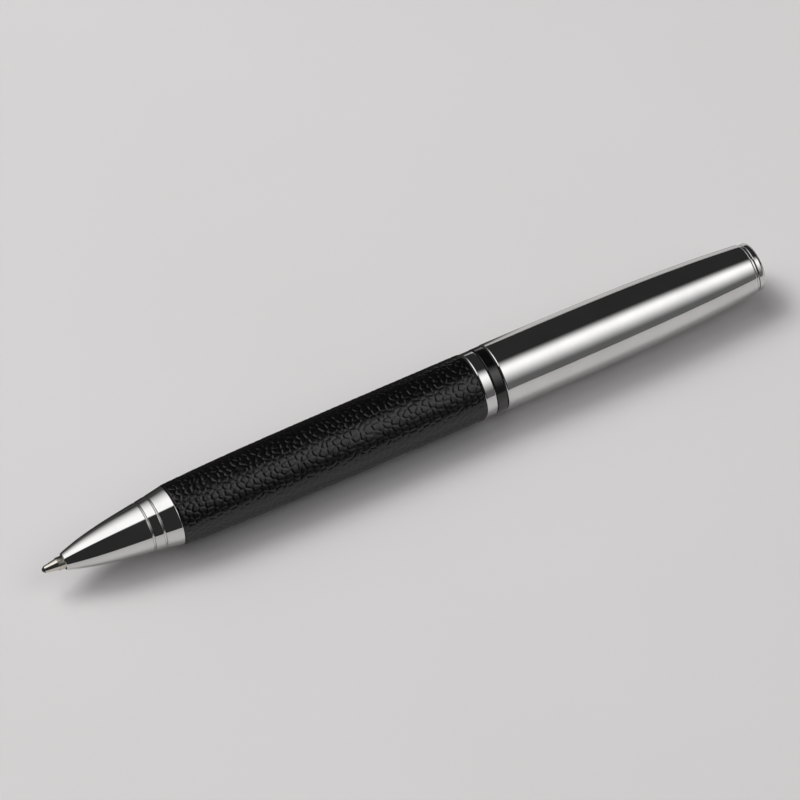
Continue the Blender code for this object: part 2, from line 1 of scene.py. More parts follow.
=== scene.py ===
import json
import math
import bmesh
import bpy
import numpy as np
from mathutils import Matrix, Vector


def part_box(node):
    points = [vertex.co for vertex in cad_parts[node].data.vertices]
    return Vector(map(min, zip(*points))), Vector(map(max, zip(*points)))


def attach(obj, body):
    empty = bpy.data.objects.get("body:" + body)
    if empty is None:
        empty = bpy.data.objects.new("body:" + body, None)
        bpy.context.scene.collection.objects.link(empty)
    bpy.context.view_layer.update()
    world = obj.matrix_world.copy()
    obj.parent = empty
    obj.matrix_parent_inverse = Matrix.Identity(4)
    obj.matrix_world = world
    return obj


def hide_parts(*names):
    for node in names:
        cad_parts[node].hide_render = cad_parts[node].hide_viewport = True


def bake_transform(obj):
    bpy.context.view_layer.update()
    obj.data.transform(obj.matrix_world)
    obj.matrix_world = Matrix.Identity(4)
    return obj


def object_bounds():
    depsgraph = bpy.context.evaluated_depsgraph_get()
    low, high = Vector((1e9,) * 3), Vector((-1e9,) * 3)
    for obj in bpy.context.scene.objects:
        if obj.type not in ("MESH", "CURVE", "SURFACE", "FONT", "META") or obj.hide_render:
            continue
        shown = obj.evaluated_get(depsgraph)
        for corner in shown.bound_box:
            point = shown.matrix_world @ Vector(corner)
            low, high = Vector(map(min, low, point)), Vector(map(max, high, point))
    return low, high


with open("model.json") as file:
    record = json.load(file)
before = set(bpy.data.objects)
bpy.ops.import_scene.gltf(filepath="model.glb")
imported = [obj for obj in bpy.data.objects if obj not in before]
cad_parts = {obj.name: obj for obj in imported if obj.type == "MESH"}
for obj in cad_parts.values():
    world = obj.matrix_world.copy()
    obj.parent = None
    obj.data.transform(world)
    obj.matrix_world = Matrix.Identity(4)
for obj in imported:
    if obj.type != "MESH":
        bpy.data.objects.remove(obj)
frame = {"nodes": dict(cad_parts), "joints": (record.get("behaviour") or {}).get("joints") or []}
cadLow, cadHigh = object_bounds()
print("frame loaded:", len(frame["nodes"]), "nodes")

mm = 0.001
shellLow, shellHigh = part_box("cap_shell")
penStart = cadLow.x  # the front of the writing ball
axisY = (shellLow.y + shellHigh.y) / 2
axisZ = (shellLow.z + shellHigh.z) / 2


# stations run along the pen in millimetres from the writing ball, radii are millimetres from its axis
def span(node):
    low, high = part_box(node)
    return (low.x - penStart) / mm, (high.x - penStart) / mm


def outerRadius(node):
    low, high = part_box(node)
    return (high.z - low.z) / 2 / mm


def sweep(start, stop, count):
    return [start + (stop - start) * i / (count - 1) for i in range(count)]


# corners are (station, radius, fillet); each one with a fillet becomes a short arc
def fillet(corners, steps=5):
    points = []
    for i, (station, radius, size) in enumerate(corners):
        corner = np.array((station, radius), float)
        before = np.array(corners[i - 1][:2], float) - corner
        after = np.array(corners[(i + 1) % len(corners)][:2], float) - corner
        lengthBefore, lengthAfter = np.linalg.norm(before), np.linalg.norm(after)
        before, after = before / lengthBefore, after / lengthAfter
        half = math.acos(max(-1.0, min(1.0, float(before @ after)))) / 2
        if size <= 0 or half > math.radians(88):
            points.append(tuple(corner))
            continue
        reach = min(size / math.tan(half), 0.48 * lengthBefore, 0.48 * lengthAfter)
        inwards = (before + after) / np.linalg.norm(before + after)
        centre = corner + inwards * reach / math.cos(half)
        first, last = corner + before * reach - centre, corner + after * reach - centre
        turn = math.pi - 2 * half
        for share in sweep(0, 1, steps + 1):
            arm = first * math.sin((1 - share) * turn) + last * math.sin(share * turn)
            points.append(tuple(centre + arm / math.sin(turn)))
    return points


def meshObject(name, vertices, faces, material, sharp):
    data = bpy.data.meshes.new(name)
    data.from_pydata(vertices, [], faces)
    shape = bmesh.new()
    shape.from_mesh(data)
    bmesh.ops.remove_doubles(shape, verts=shape.verts, dist=1e-8)
    bmesh.ops.recalc_face_normals(shape, faces=shape.faces)
    shape.to_mesh(data)
    shape.free()
    data.shade_smooth()
    data.set_sharp_from_angle(angle=math.radians(sharp))
    data.materials.append(material)
    piece = bpy.data.objects.new(name, data)
    bpy.context.scene.collection.objects.link(piece)
    return piece


# a closed profile turned about the pen's axis; shape(stations, angles, radii) may change the radii
def turned(name, loop, material, sides=160, shape=None, sharp=35):
    stations, angles = np.meshgrid([p[0] for p in loop], np.arange(sides) * 2 * math.pi / sides)
    radii = np.tile(np.array([p[1] for p in loop], float), (sides, 1))
    if shape:
        radii = shape(stations, angles, radii)
    x = penStart + stations * mm
    y = axisY - radii * mm * np.sin(angles)
    z = axisZ + radii * mm * np.cos(angles)
    vertices = np.stack([x, y, z], axis=-1).reshape(-1, 3)
    count = len(loop)
    ring, along = np.meshgrid(np.arange(sides), np.arange(count), indexing="ij")
    row, nextRow, nextAlong = ring * count, (ring + 1) % sides * count, (along + 1) % count
    faces = np.stack([row + along, nextRow + along, nextRow + nextAlong, row + nextAlong], axis=-1)
    return meshObject(name, vertices.tolist(), faces.reshape(-1, 4).tolist(), material, sharp)


# a body of the object takes the piece, which stands for the CAD nodes it covers
def fit(piece, body, slot, *nodes):
    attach(piece, body)
    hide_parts(*nodes)
    return piece


def hexColor(text):  # sRGB hex to the linear values that a shader takes
    values = [int(text[i:i + 2], 16) / 255 for i in (1, 3, 5)]
    linear = [v / 12.92 if v <= 0.04045 else ((v + 0.055) / 1.055) ** 2.4 for v in values]
    return (*linear, 1.0)


def addNode(tree, kind, settings=None, links=None):
    node = tree.nodes.new(kind)
    for key, value in (settings or {}).items():
        if isinstance(key, int) or key in node.inputs:
            node.inputs[key].default_value = value
        else:
            setattr(node, key, value)
    for key, source in (links or {}).items():
        tree.links.new(source, node.inputs[key])
    return node


def newMaterial(name, settings):
    material = bpy.data.materials.new(name)
    material.use_nodes = True
    tree = material.node_tree
    shader = tree.nodes["Principled BSDF"]
    for key, value in settings.items():
        shader.inputs[key].default_value = value
    where = addNode(tree, "ShaderNodeTexCoord").outputs["Object"]
    return material, tree, shader, where


# noise whose grains are size millimetres long along the pen and wide millimetres across it
def grain(tree, where, size, wide=None, detail=2.0):
    stretch = (1 / (size * mm), 1 / ((wide or size) * mm), 1 / ((wide or size) * mm))
    spread = addNode(tree, "ShaderNodeMapping", {"Scale": stretch}, {"Vector": where})
    noise = {"Scale": 1.0, "Detail": detail}
    return addNode(tree, "ShaderNodeTexNoise", noise, {"Vector": spread.outputs[0]})


# tint and colors set the colour, sheen and gloss the roughness, and each relief is (height, depth in mm);
# nearly all of a noise lies between 0.3 and 0.7
def dressSurface(tree, shader, tint, colors, sheen, gloss, reliefs):
    ends = {"data_type": "RGBA", 6: hexColor(colors[0]), 7: hexColor(colors[1])}
    mixed = addNode(tree, "ShaderNodeMix", ends, {0: tint})
    tree.links.new(mixed.outputs[2], shader.inputs["Base Color"])
    limits = {"From Min": 0.3, "From Max": 0.7, "To Min": gloss[0], "To Max": gloss[1]}
    rough = addNode(tree, "ShaderNodeMapRange", limits, {"Value": sheen})
    tree.links.new(rough.outputs[0], shader.inputs["Roughness"])
    under = {}
    for height, depth in reliefs:
        settings = {"Distance": depth * mm, "Strength": 1.0}
        raised = addNode(tree, "ShaderNodeBump", settings, {"Height": height, **under}).outputs[0]
        under = {"Normal": raised}
    tree.links.new(raised, shader.inputs["Normal"])


# bright chrome plate over polished brass: a near mirror, with faint haze from handling
def chromePlate():
    chrome = {
        "colors": ("#CCCBCB", "#E4E3E2"), "gloss": (0.035, 0.09), "hazeSize": 5.0,
        "wipeLength": 3.0, "wipeWidth": 0.3, "wipeDepth": 0.0006,
    }
    material, tree, shader, where = newMaterial("chromePlate", {"Metallic": 1.0})
    haze = grain(tree, where, chrome["hazeSize"], detail=4.0).outputs[0]
    # real wiping marks are finer
    wipes = grain(tree, where, chrome["wipeLength"], chrome["wipeWidth"], 3.0).outputs[0]
    reliefs = [(wipes, chrome["wipeDepth"])]
    dressSurface(tree, shader, haze, chrome["colors"], haze, chrome["gloss"], reliefs)
    return material


# black grained cowhide, plate-embossed and polished: deep black, with a broken gloss on its pebbles
def embossedLeather():
    skin = {
        "colors": ("#020202", "#080707"), "patchSize": 2.2, "gloss": (0.17, 0.25),
        "poreSize": 0.32, "poreDepth": 0.002, "poreEdge": 0.25, "grainSize": 0.16, "grainDepth": 0.003,
    }
    material, tree, shader, where = newMaterial("embossedLeather", {"IOR": 1.5, "Specular IOR Level": 0.5})
    patches = grain(tree, where, skin["patchSize"], detail=3.0).outputs[0]
    fine = grain(tree, where, skin["grainSize"], detail=4.0).outputs[0]  # real grain is finer still
    cells = {"Scale": 1 / (skin["poreSize"] * mm), "feature": "DISTANCE_TO_EDGE"}
    pores = addNode(tree, "ShaderNodeTexVoronoi", cells, {"Vector": where}).outputs[0]
    pores = addNode(tree, "ShaderNodeMapRange", {"From Max": skin["poreEdge"]}, {"Value": pores}).outputs[0]
    reliefs = [(pores, skin["poreDepth"]), (fine, skin["grainDepth"])]
    dressSurface(tree, shader, patches, skin["colors"], fine, skin["gloss"], reliefs)
    return material


# black lacquer fired on a ring: glassy, with a trace of orange peel
def blackLacquer():
    lacquer = {"colors": ("#030303", "#0A0909"), "gloss": (0.1, 0.2), "peelSize": 0.7, "peelDepth": 0.004}
    settings = {"IOR": 1.5, "Specular IOR Level": 0.25}
    settings.update({"Coat Weight": 1.0, "Coat Roughness": 0.06, "Coat IOR": 1.45})
    material, tree, shader, where = newMaterial("blackLacquer", settings)
    peel = grain(tree, where, lacquer["peelSize"]).outputs[0]
    reliefs = [(peel, lacquer["peelDepth"])]
    dressSurface(tree, shader, peel, lacquer["colors"], peel, lacquer["gloss"], reliefs)
    return material


# a turned metal: fine rings from the lathe, drawn coarser than the real feed so that they show
def turnedMetal(name, low, high, roughness, feed):
    lathe = {"ringWidth": 40.0, "ringDepth": 0.002, "stainSize": 1.6, "gloss": (0.75, 1.3)}
    material, tree, shader, where = newMaterial(name, {"Metallic": 1.0})
    rings = grain(tree, where, feed, lathe["ringWidth"], 1.0).outputs[0]
    stains = grain(tree, where, lathe["stainSize"], detail=3.0).outputs[0]
    gloss = [roughness * share for share in lathe["gloss"]]
    dressSurface(tree, shader, stains, (low, high), rings, gloss, [(rings, lathe["ringDepth"])])
    return material


# moulded plastic: an even skin with a soft gloss and faint mould texture
def mouldedPlastic(name, low, high, roughness):
    mould = {"skinSize": 0.4, "skinDepth": 0.004, "gloss": (0.8, 1.2)}
    material, tree, shader, where = newMaterial(name, {"IOR": 1.5})
    skin = grain(tree, where, mould["skinSize"], detail=3.0).outputs[0]
    gloss = [roughness * share for share in mould["gloss"]]
    dressSurface(tree, shader, skin, (low, high), skin, gloss, [(skin, mould["skinDepth"])])
    return material


finishes = {
    "chrome": chromePlate(),
    "leather": embossedLeather(),
    "enamel": blackLacquer(),
    "brass": turnedMetal("turnedBrass", "#A98442", "#D0AC68", 0.26, 0.12),  # warm, softly ringed
    "steel": turnedMetal("drawnSteel", "#9C9EA1", "#BFC1C4", 0.24, 0.2),  # grey, slightly streaked
    "nickel": turnedMetal("turnedNickelSilver", "#C4BCAE", "#E4E0D8", 0.14, 0.1),  # pale, a little yellow
    "carbide": turnedMetal("groundCarbide", "#3E3E42", "#5C5C60", 0.3, 0.06),  # dark grey, fine matt
    "white_plastic": mouldedPlastic("mouldedAcetal", "#D6D4CC", "#E6E4DC", 0.38),  # milky, waxy
    "black_plastic": mouldedPlastic("mouldedNylon", "#101012", "#1B1B1E", 0.46),  # satin black
    "rubber": mouldedPlastic("mouldedNitrile", "#0E0E0E", "#191918", 0.75),  # matt black
    "ink": mouldedPlastic("pasteInk", "#060A30", "#0B1246", 0.2),  # wet dark blue
    "grease": mouldedPlastic("clearGrease", "#B9B294", "#CFC9AE", 0.15),  # wet pale straw
}
print("materials made:", len(finishes))

# nose cone: a grooved ogive with a screwed spigot behind it
nose = {
    "bulge": 0.475, "bulgeGain": 6.75, "frontRadius": 1.5, "frontRim": 0.12, "backRadius": 5.4, "rim": 0.16,
    "grooves": (5.3, 3.3), "grooveWidth": 0.46, "grooveDepth": 0.25, "seatGap": 0.05,
    "spigotRadius": 4.1, "threadPitch": 0.75, "threadDepth": 0.2, "plainLead": 1.0, "plainEnd": 0.5,
    "pointBore": 1.25, "pointBoreLength": 5.5, "chamberBore": 2.37, "chamberLength": 6.9, "bodyBore": 3.2,
}
noseFront, spigotBack = span("nose_cone")
noseBack = span("leather_sleeve")[0] - nose["seatGap"]


def noseRadius(station):
    share = (station - noseFront) / (noseBack - noseFront)
    swell = nose["bulge"] * nose["bulgeGain"] * share * (1 - share) ** 2
    return nose["frontRadius"] + (nose["backRadius"] - nose["frontRadius"]) * share + swell


# how high the screw thread's wave stands, from 0 to 1; the bush cuts the same thread inside
def threadWave(stations, angles):
    return 0.5 + 0.5 * np.cos(2 * math.pi * (stations / nose["threadPitch"] - angles / (2 * math.pi)))


def noseThread(stations, angles, radii):
    outside = radii > nose["spigotRadius"] - 0.05
    along = (stations > noseBack + nose["plainLead"]) & (stations < spigotBack - nose["plainEnd"])
    return radii - nose["threadDepth"] * threadWave(stations, angles) * (along & outside)


def makeNose():
    corners = [(noseFront, nose["frontRadius"], nose["frontRim"])]
    half = nose["grooveWidth"] / 2
    marks = sorted(noseBack - back for back in nose["grooves"])
    runs = zip([noseFront] + marks, marks + [noseBack])
    for start, stop in runs:
        first = start + (half if start > noseFront else 0.5)
        last = stop - (half if stop < noseBack else 0.4)
        corners += [(s, noseRadius(s), 0) for s in sweep(first, last, 60 if start == noseFront else 9)]
        if stop < noseBack:
            for turn in sweep(0, math.pi, 11)[1:-1]:
                s = stop - half * math.cos(turn)
                corners.append((s, noseRadius(s) - nose["grooveDepth"] * math.sin(turn), 0))
    corners.append((noseBack, nose["backRadius"], nose["rim"]))
    corners.append((noseBack + 0.01, nose["spigotRadius"], 0))
    corners += [(s, nose["spigotRadius"], 0) for s in sweep(noseBack + 0.5, spigotBack - 0.4, 90)]
    corners += [(spigotBack, nose["spigotRadius"] - 0.2, 0), (spigotBack, nose["bodyBore"], 0.1)]
    seat = noseFront + nose["pointBoreLength"]
    step = seat + nose["chamberLength"]
    corners += [(step, nose["bodyBore"], 0), (step, nose["chamberBore"], 0), (seat, nose["chamberBore"], 0)]
    corners += [(seat, nose["pointBore"], 0), (noseFront, nose["pointBore"], 0.1)]
    piece = turned("noseCone", fillet(corners), finishes["chrome"], 192, noseThread)
    fit(piece, "nose", "chrome", "nose_cone")


makeNose()
print("nose cone made")

# leather: one strip of embossed hide drawn round the barrel, with its butt seam underneath
hide = {
    "frontRadius": 5.47, "taperPower": 4.5, "pebble": 1.22, "jitter": 0.4, "groove": 0.55, "depth": 0.055,
    "dimple": 0.25, "dimpleReach": 0.42, "rolled": 0.12, "turnIn": 0.22,
    "seamAngle": 200.0, "seamWidth": 0.3, "seamDepth": 0.2, "step": 0.13,
}
hideFront, hideBack = span("leather_sleeve")
hideRadius = outerRadius("leather_sleeve")
hideBore = outerRadius("barrel_tube") + 0.1


# each point takes its height from the two nearest pebble centres of a jittered brick pattern
def hideShape(stations, angles, radii):
    generator = np.random.default_rng(7)
    around = 2 * math.pi * hideRadius
    columns = round(around / hide["pebble"])
    rows = int((hideBack - hideFront) / hide["pebble"]) + 5
    wide = around / columns
    shiftAlong = generator.uniform(-1, 1, (rows, columns)) * hide["jitter"] * hide["pebble"]
    shiftAround = generator.uniform(-1, 1, (rows, columns)) * hide["jitter"] * wide
    across = np.mod(angles, 2 * math.pi) * hideRadius
    row = np.floor((stations - hideFront) / hide["pebble"]).astype(int) + 2
    column = np.floor(across / wide).astype(int)
    nearest = np.full(stations.shape, 99.0)
    second = np.full(stations.shape, 99.0)
    for stepRow in (-2, -1, 0, 1, 2):
        for stepColumn in (-2, -1, 0, 1, 2):
            r = np.clip(row + stepRow, 0, rows - 1)
            c = column + stepColumn
            seedAlong = hideFront + (r - 1.5) * hide["pebble"] + shiftAlong[r, c % columns]
            brick = 0.5 * wide * (r % 2)
            seedAcross = (c + 0.5) * wide + brick - 0.25 * wide + shiftAround[r, c % columns]
            distance = np.hypot(stations - seedAlong, across - seedAcross)
            second = np.where(distance < nearest, nearest, np.minimum(second, distance))
            nearest = np.minimum(nearest, distance)
    rise = np.clip((second - nearest) / hide["groove"], 0, 1)
    rise = rise * rise * (3 - 2 * rise)
    bowl = np.clip(1 - nearest / (hide["dimpleReach"] * hide["pebble"]), 0, 1) ** 1.5
    lift = rise * (1 - hide["dimple"] * bowl) - 1
    fromSeam = np.mod(angles - math.radians(hide["seamAngle"]) + math.pi, 2 * math.pi) - math.pi
    seam = np.clip(1 - np.abs(fromSeam) * hideRadius / hide["seamWidth"], 0, 1)
    lift -= seam * hide["seamDepth"] / hide["depth"]
    edge = np.minimum(stations - hideFront, hideBack - stations)
    outside = radii > hideBore + 0.01
    calm = np.clip(edge / hide["turnIn"], 0, 1)
    rolled = hide["rolled"] * (1 - np.sqrt(np.clip(1 - (1 - calm) ** 2, 0, 1)))
    return radii + outside * (hide["depth"] * lift * calm - rolled)


def makeLeather():
    stations = sweep(hideFront, hideBack, round((hideBack - hideFront) / hide["step"]))
    loop = []
    for s in stations:
        share = (s - hideFront) / (hideBack - hideFront)
        drop = (hideRadius - hide["frontRadius"]) * (1 - share) ** hide["taperPower"]
        loop.append((s, hideRadius - drop))
    loop += [(s, hideBore) for s in sweep(hideBack, hideFront, 30)]
    piece = turned("leatherSleeve", loop, finishes["leather"], 288, hideShape, 60)
    fit(piece, "barrel", "leather", "leather_sleeve")


makeLeather()
print("leather drawn over the barrel")

# rings between the leather and the cap
rings = {"bore": 4.9, "chromeFront": 0.3, "chromeBack": 0.22, "lacquerEdge": 0.16}


def makeRing(name, node, slot, frontEdge, backEdge):
    front, back = span(node)
    radius = outerRadius(node)
    corners = [(front, rings["bore"], 0.05), (front, radius, frontEdge)]
    corners += [(back, radius, backEdge), (back, rings["bore"], 0.05)]
    fit(turned(name, fillet(corners, 8), finishes[slot], 192), "barrel", slot, node)


makeRing("centreRing", "centre_ring", "chrome", rings["chromeFront"], rings["chromeBack"])
makeRing("spacerRing", "spacer_ring", "enamel", rings["lacquerEdge"], rings["lacquerEdge"])
print("rings made")

# cap: a drawn shell that runs nearly straight and then curves in to its end
cap = {
    "endRadius": 4.62, "taperPower": 3.3, "wall": 0.55, "endWall": 0.8, "mouthRim": 0.3, "endRim": 0.18,
    "studHole": 1.6,
}
capFront, capBack = span("cap_shell")
capMouthRadius = outerRadius("cap_shell")


def capRadius(station):
    share = (station - capFront) / (capBack - capFront)
    return capMouthRadius - (capMouthRadius - cap["endRadius"]) * share ** cap["taperPower"]


def makeCap():
    corners = [(capFront, capMouthRadius, cap["mouthRim"])]
    corners += [(s, capRadius(s), 0) for s in sweep(capFront + 0.8, capBack - 0.5, 90)]
    corners.append((capBack, cap["endRadius"], cap["endRim"]))
    corners += [(capBack, cap["studHole"], 0), (capBack - cap["endWall"], cap["studHole"], 0)]
    inside = sweep(capBack - cap["endWall"], capFront, 20)
    corners += [(s, capRadius(s) - cap["wall"], 0.08 if s == inside[-1] else 0) for s in inside]
    fit(turned("capShell", fillet(corners, 8), finishes["chrome"], 224), "cap", "chrome", "cap_shell")


makeCap()
print("cap made")

# finial: a low button with a rolled edge on a screwed stud
button = {"radius": 4.42, "edge": 0.95, "crown": 0.12, "studRadius": 1.5, "seatGap": 0.05}
studFront, finialBack = span("finial")
collarFront, collarBack = span("clip_collar")
finialFront = collarBack + 2 * button["seatGap"]


def makeFinial():
    high = finialBack
    corners = [(studFront, 0.001, 0), (studFront, button["studRadius"], 0.2)]
    corners += [(finialFront, button["studRadius"], 0), (finialFront, button["radius"], 0.14)]
    shoulder = finialFront + (high - finialFront) * 0.42
    corners.append((shoulder, button["radius"], 0))
    for turn in sweep(0, math.pi / 2, 12)[1:]:
        s = shoulder + (high - button["crown"] - shoulder) * math.sin(turn)
        corners.append((s, button["radius"] - button["edge"] * (1 - math.cos(turn)), 0))
    flatRadius = button["radius"] - button["edge"]
    for share in sweep(0.95, 0.0, 8):
        corners.append((high - button["crown"] * share ** 2, max(0.001, flatRadius * share), 0))
    fit(turned("finialButton", fillet(corners), finishes["chrome"], 160), "cap", "chrome", "finial")


makeFinial()

# clip: its joint says where it stands round the cap
clip = {
    "radius": 8.05, "crestFromBack": 10.0, "crestDrop": 0.5, "length": 38.0, "thickness": 0.7,
    "halfWidth": 1.8, "endHalfWidth": 1.3, "touchGap": 0.1, "rootRise": 0.35, "rootGap": 0.05,
    "bend": 0.9, "edge": 0.16, "crown": 0.18,
}
clipJoint = next(joint for joint in frame["joints"] if joint["name"] == "clip_flex")
clipPlace = Vector(clipJoint["pos_m"])
clipOut = Vector((0, clipPlace.y - axisY, clipPlace.z - axisZ)).normalized()
clipAcross = Vector(clipJoint["axis"]).normalized()
clipTurn = math.atan2(-clipOut.y, clipOut.z)
clipBack = span("clip_arm")[1]
clipCrest = collarBack + button["seatGap"] - clip["crestFromBack"]


def clipHeight(station):
    reach = clip["crestFromBack"] if station > clipCrest else clip["length"] - clip["crestFromBack"]
    return clip["radius"] - clip["crestDrop"] * ((station - clipCrest) / reach) ** 2


def clipHalfWidth(stations):
    share = np.clip((clipCrest - stations) / (clip["length"] - clip["crestFromBack"]), 0, 1)
    return clip["halfWidth"] + (clip["endHalfWidth"] - clip["halfWidth"]) * share


# a closed outline of (station, height) given the clip's width, with rounded rims and a crowned top
def clipStrip(name, outline, material):
    loop = np.array(outline, float)
    tangent = np.roll(loop, -1, axis=0) - np.roll(loop, 1, axis=0)
    tangent /= np.linalg.norm(tangent, axis=1)[:, None]
    outwards = np.stack([tangent[:, 1], -tangent[:, 0]], axis=1)
    turning = np.sum(loop[:, 0] * np.roll(loop[:, 1], -1) - np.roll(loop[:, 0], -1) * loop[:, 1])
    outwards *= 1 if turning > 0 else -1
    wide = clipHalfWidth(loop[:, 0])
    rims = [(-1, turn) for turn in sweep(0, math.pi / 2, 6)]
    rims += [(share, None) for share in sweep(-0.8, 0.8, 9)]
    rims += [(1, turn) for turn in sweep(math.pi / 2, 0, 6)]
    vertices = []
    for side, turn in rims:
        inset = 0 if turn is None else clip["edge"] * (1 - math.sin(turn))
        rim = 0 if turn is None else clip["edge"] * (1 - math.cos(turn))
        across = side * (wide - clip["edge"]) if turn is None else side * (wide - rim)
        points = loop - outwards * inset
        top = np.clip(outwards[:, 1], 0, 1) * clip["crown"] * (across / wide) ** 2
        for (station, height), reach, drop in zip(points, across, top):
            spot = clipOut * (height - drop) * mm + clipAcross * reach * mm
            vertices.append((penStart + station * mm, axisY + spot.y, axisZ + spot.z))
    count = len(loop)
    faces = []
    for row in range(len(rims) - 1):
        for i in range(count):
            j = (i + 1) % count
            faces.append((row * count + i, row * count + j, (row + 1) * count + j, (row + 1) * count + i))
    lastRow = (len(rims) - 1) * count
    faces += [tuple(range(count)), tuple(lastRow + i for i in reversed(range(count)))]
    return meshObject(name, vertices, faces, material, 50)


def makeClip():
    front = collarBack + button["seatGap"] - clip["length"]
    ball = (clipHeight(front) - capRadius(front) - clip["touchGap"]) / 2
    ballStation = front + ball
    ballHeight = clipHeight(front) - ball
    tab = clipHeight(collarBack) - clip["rootRise"] - clip["thickness"]
    corners = [(s, clipHeight(s), 0) for s in sweep(ballStation, clipBack - 1.4, 60)]
    corners.append((clipBack, clipHeight(clipBack), clip["bend"]))
    root = tab + clip["rootGap"]
    corners += [(clipBack, root, 0.1), (clipBack - clip["thickness"], root, 0.1)]
    corners.append((clipBack - clip["thickness"], clipHeight(clipBack) - clip["thickness"], 0.3))
    inner = sweep(clipBack - 2.4, ballStation + 1.9 * ball, 40)
    corners += [(s, clipHeight(s) - clip["thickness"], 0) for s in inner]
    for turn in sweep(-math.pi / 6, -1.5 * math.pi, 24)[:-1]:
        corners.append((ballStation + ball * math.cos(turn), ballHeight + ball * math.sin(turn), 0))
    fit(clipStrip("clipArm", fillet(corners, 8), finishes["chrome"]), "clip", "chrome", "clip_arm")

    def tabShape(stations, angles, radii):
        turn = np.mod(angles - clipTurn + math.pi, 2 * math.pi) - math.pi
        ahead = np.abs(turn) < math.pi / 2
        toEnd = tab / np.maximum(np.cos(turn), 0.01)
        toSide = clip["halfWidth"] / np.maximum(np.abs(np.sin(turn)), 0.01)
        reach = np.minimum(toEnd, toSide)
        longer = ahead & (radii > 4.0)
        return np.where(longer, np.maximum(radii, reach - (button["radius"] - radii)), radii)

    corners = [(collarFront, cap["studHole"], 0), (collarFront, button["radius"], 0.1)]
    corners += [(collarBack, button["radius"], 0.1), (collarBack, cap["studHole"], 0)]
    collar = turned("clipCollar", fillet(corners), finishes["chrome"], 360, tabShape)
    fit(collar, "cap", "chrome", "clip_collar")


makeClip()
print("finial and clip made")

# refill: what shows of it in front of the nose, and when the nose is off
point = {
    "ballRadius": 0.5, "socketBack": 1.05, "lip": 0.6, "cone": 2.4, "radius": 1.15, "step": 0.12,
    "channel": 0.25, "neck": 1.55, "flange": 1.0, "body": 2.95, "wall": 0.35, "crimp": 0.08, "crimpAt": 1.2,
}
tipFront, tipBack = span("writing_tip")
holderFront, holderBack = span("tip_holder")
tubeFront, tubeBack = span("ink_tube")


def makePoint():
    coneBack = tipFront + point["cone"]
    socket = point["ballRadius"] + 0.02
    corners = [(tipFront, socket, 0.03), (tipFront, point["lip"], 0.05)]
    corners += [(coneBack, point["radius"] - point["step"], 0), (coneBack + 0.02, point["radius"], 0.05)]
    corners += [(tipBack, point["radius"], 0.05), (tipBack, point["channel"], 0)]
    corners += [(point["socketBack"], point["channel"], 0), (point["socketBack"], socket, 0)]
    fit(turned("writingTip", fillet(corners), finishes["nickel"], 96), "refill", "nickel", "writing_tip")
    corners = [(0.001, 0.001, 0)]
    for turn in sweep(0, math.pi, 25)[1:-1]:
        corners.append((point["ballRadius"] * (1 - math.cos(turn)), point["ballRadius"] * math.sin(turn), 0))
    corners.append((2 * point["ballRadius"], 0.001, 0))
    fit(turned("writingBall", corners, finishes["carbide"], 48), "ball", "carbide", "writing_ball")
    shoulder = holderBack - point["flange"]
    corners = [(holderFront, point["neck"], 0.12), (shoulder, point["neck"], 0.1)]
    corners += [(shoulder, point["body"], 0.2), (holderBack, point["body"], 0.1)]
    corners += [(holderBack, point["channel"], 0), (holderFront, point["channel"], 0)]
    holder = turned("tipHolder", fillet(corners), finishes["brass"], 128)
    fit(holder, "refill", "brass", "tip_holder")
    crimpAt = tubeFront + point["crimpAt"]
    corners = [(tubeFront, point["body"], 0.1), (crimpAt - 0.3, point["body"], 0.2)]
    corners += [(crimpAt, point["body"] - point["crimp"], 0.2), (crimpAt + 0.3, point["body"], 0.2)]
    corners += [(tubeBack, point["body"], 0.1), (tubeBack, point["body"] - point["wall"], 0)]
    corners.append((tubeFront, point["body"] - point["wall"], 0))
    fit(turned("inkTube", fillet(corners), finishes["steel"], 128), "refill", "steel", "ink_tube")


makePoint()


# the spring's end coils lie closed, and its middle coils open as the refill draws back
spring = {"turns": 7.5, "closedTurns": 1.25, "wire": 0.16, "radius": 1.96, "perTurn": 40, "around": 10}


def makeSpring():
    low, high = span("return_spring")
    front, back = low + spring["wire"], high - spring["wire"]
    turns, closedTurns, around = spring["turns"], spring["closedTurns"], spring["around"]
    closed = 2.1 * spring["wire"] * closedTurns
    steps = int(turns * spring["perTurn"])
    vertices = []
    for i in range(steps + 1):
        turn = turns * i / steps
        opened = min(1.0, max(0.0, (turn - closedTurns) / (turns - 2 * closedTurns)))
        fromFront = min(turn, closedTurns) / closedTurns * closed
        fromBack = max(0.0, turn - turns + closedTurns) / closedTurns * closed
        station = front + fromFront + opened * (back - front - 2 * closed) + fromBack
        angle = 2 * math.pi * turn
        for k in range(around):
            roll = 2 * math.pi * k / around
            radius = (spring["radius"] + spring["wire"] * math.cos(roll)) * mm
            x = penStart + (station + spring["wire"] * math.sin(roll)) * mm
            vertices.append((x, axisY - radius * math.sin(angle), axisZ + radius * math.cos(angle)))
    faces = []
    for i in range(steps):
        for k in range(around):
            j = (k + 1) % around
            faces.append((i * around + k, i * around + j, (i + 1) * around + j, (i + 1) * around + k))
    faces += [tuple(range(around)), tuple(steps * around + k for k in reversed(range(around)))]
    piece = meshObject("returnSpring", vertices, faces, finishes["steel"], 60)
    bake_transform(piece)
    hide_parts("return_spring")


makeSpring()
print("refill point and spring made")


